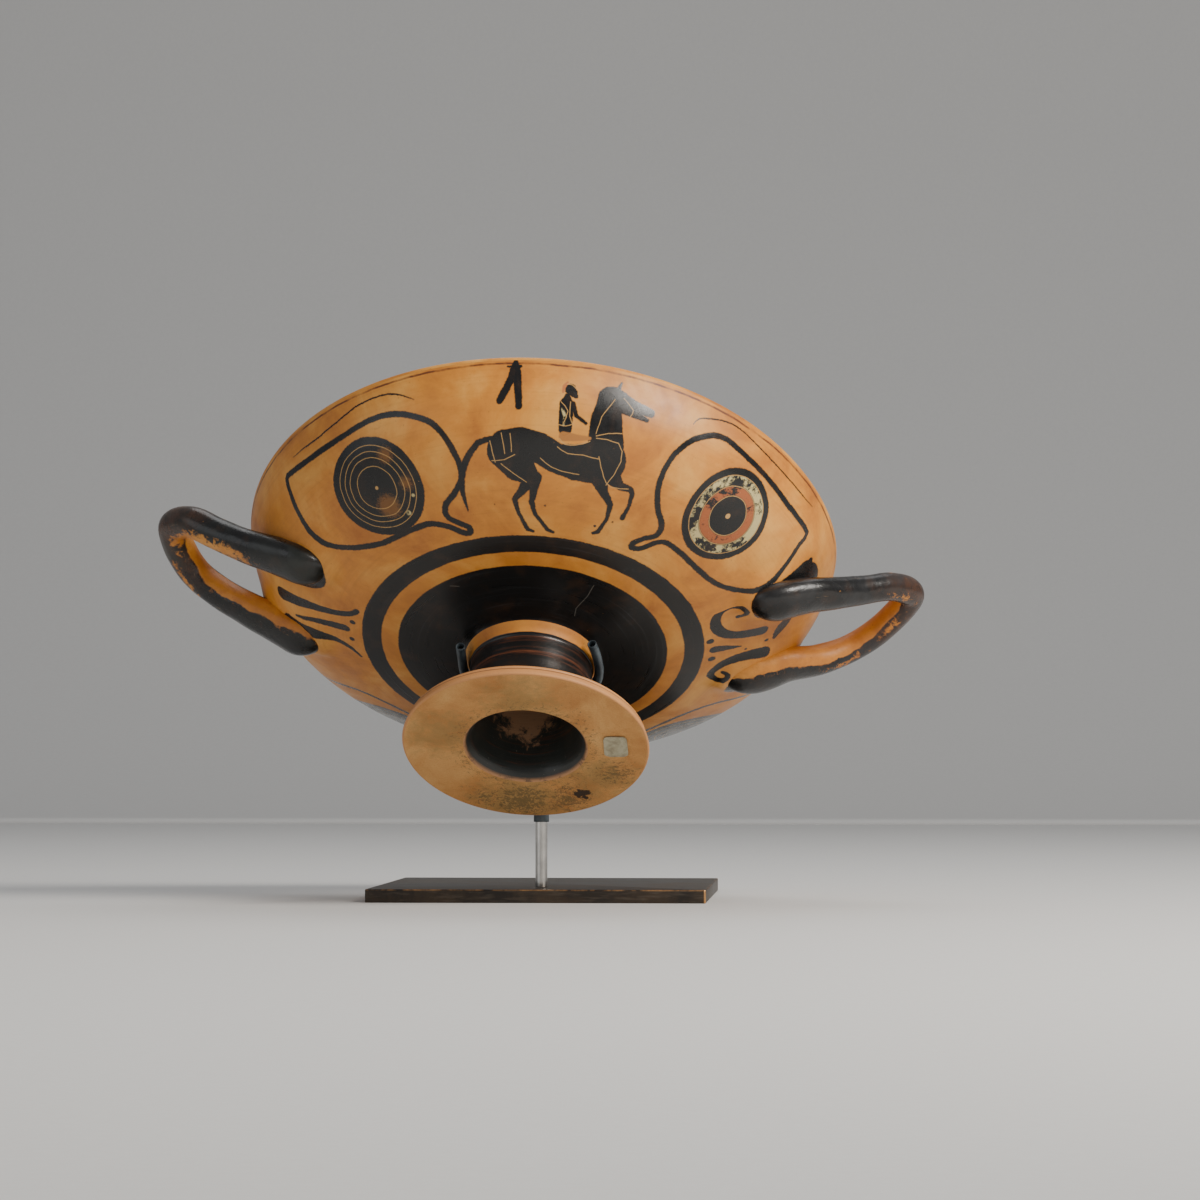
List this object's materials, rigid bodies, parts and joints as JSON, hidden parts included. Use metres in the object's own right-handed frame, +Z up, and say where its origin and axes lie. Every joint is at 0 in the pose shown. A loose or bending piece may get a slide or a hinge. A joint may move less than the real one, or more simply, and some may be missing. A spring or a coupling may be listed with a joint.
{
  "type": "drinking cup on a display stand",
  "caption": "Wide shallow two-handled kylix cup with painted eyes and a horse rider, leaning back in a wire cradle on a post and square foot plate.",
  "frame": {"origin": "centre of the stand plate's underside", "axes": "+Z up; +X to the cup's right handle as seen from the foot side; -Y towards the side where the cup's foot and painted outside show"},
  "size_m": [0.344, 0.2375, 0.2356],
  "materials": {
    "clay": "orange burnished clay painted with glossy black slip",
    "dark_brass": "dark patinated, worn at the edges",
    "satin_steel": "satin",
    "grey_rubber": "soft blue-grey sleeve",
    "paper": "small blank museum sticker"
  },
  "bodies": {
    "root": {"kylix": "clay", "stand_plate": "dark_brass", "stand_post": "satin_steel", "post_sleeve": "grey_rubber", "stand_cradle": "satin_steel", "claw_sleeve_left": "grey_rubber", "claw_sleeve_right": "grey_rubber", "foot_sticker": "paper"}
  },
  "joints": []
}
